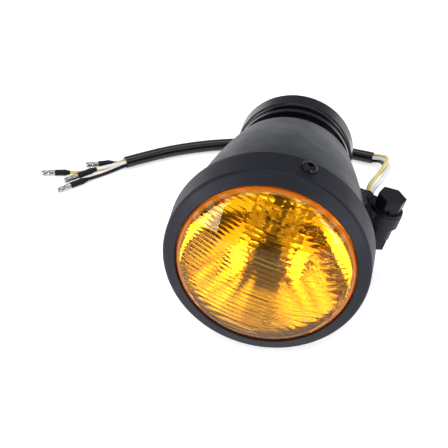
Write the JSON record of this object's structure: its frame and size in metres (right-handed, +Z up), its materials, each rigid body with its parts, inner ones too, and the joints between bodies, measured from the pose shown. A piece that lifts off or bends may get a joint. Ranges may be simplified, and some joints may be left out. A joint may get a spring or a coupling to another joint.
{
  "type": "fog light",
  "caption": "Round motorcycle fog light with amber fluted lens, black bullet housing, swivel bracket, push-on rear cap and sleeved leads with bullet terminals.",
  "frame": {"origin": "bottom centre of the box around the lamp as it lies on its side, leads left out, on the surface it rests on", "axes": "+Z up from the surface, +Y along the lamp from the lens to the rear cap as seen from above, +X towards the side that carries the mounting lug"},
  "size_m": [0.2552, 0.2032, 0.1326],
  "materials": {
    "bezel_black": "matt black powder coat",
    "body_black": "matt black powder coat",
    "hardware_black": "satin black",
    "cap_black": "satin moulded",
    "amber_glass": "pressed, fluted inside",
    "clear_glass": "clear",
    "reflector_silver": "vacuum metallised",
    "zinc_steel": "zinc plated",
    "tungsten": "drawn wire",
    "black_rubber": "moulded",
    "connector_black": "moulded",
    "wire_yellow": "extruded insulation",
    "wire_white": "extruded insulation",
    "wire_black": "extruded insulation",
    "wire_brown": "extruded insulation",
    "sleeve_black": "soft glossy tube",
    "terminal_tin": "tinned"
  },
  "bodies": {
    "lamp": {"bezel_ring": "bezel_black", "bezel_screws": "hardware_black", "boot_black": "black_rubber", "boot_brown": "black_rubber", "boot_white": "black_rubber", "boot_yellow": "black_rubber", "bulb_base": "zinc_steel", "bulb_connector": "connector_black", "bulb_filaments": "tungsten", "bulb_glass": "clear_glass", "bulb_insulator": "connector_black", "bulb_retainer": "zinc_steel", "bulb_shield": "zinc_steel", "bulb_terminals": "zinc_steel", "bullet_black": "terminal_tin", "bullet_brown": "terminal_tin", "bullet_white": "terminal_tin", "bullet_yellow": "terminal_tin", "flat_washer": "hardware_black", "housing_shell": "body_black", "inner_wire_black": "wire_black", "inner_wire_brown": "wire_brown", "inner_wire_white": "wire_white", "inner_wire_yellow": "wire_yellow", "lead_black": "wire_black", "lead_brown": "wire_brown", "lead_sleeve": "sleeve_black", "lead_white": "wire_white", "lead_yellow": "wire_yellow", "lens": "amber_glass", "lens_gasket": "black_rubber", "lock_washer": "hardware_black", "mount_lug": "body_black", "mount_nuts": "zinc_steel", "mount_screws": "hardware_black", "pilot_bulb": "clear_glass", "pilot_holder": "connector_black", "pivot_bolt": "hardware_black", "pivot_nut": "hardware_black", "rear_cap_seal": "black_rubber", "reflector": "reflector_silver", "wire_grommet": "black_rubber"},
    "cap": {"rear_cap": "cap_black"},
    "bracket": {"swivel_bracket": "hardware_black"}
  },
  "joints": [
    {"name": "aim_pivot", "type": "hinge", "parent": "lamp", "child": "bracket", "pos_m": [0.05604, 0.01399, 0.03214], "axis": [0.2924, 0.2045, 0.9342], "range_deg": [-35, 35]},
    {"name": "rear_cap_pull", "type": "slide", "parent": "lamp", "child": "cap", "axis": [0, 0.9769, -0.2139], "range_m": [0, 0.03]}
  ]
}
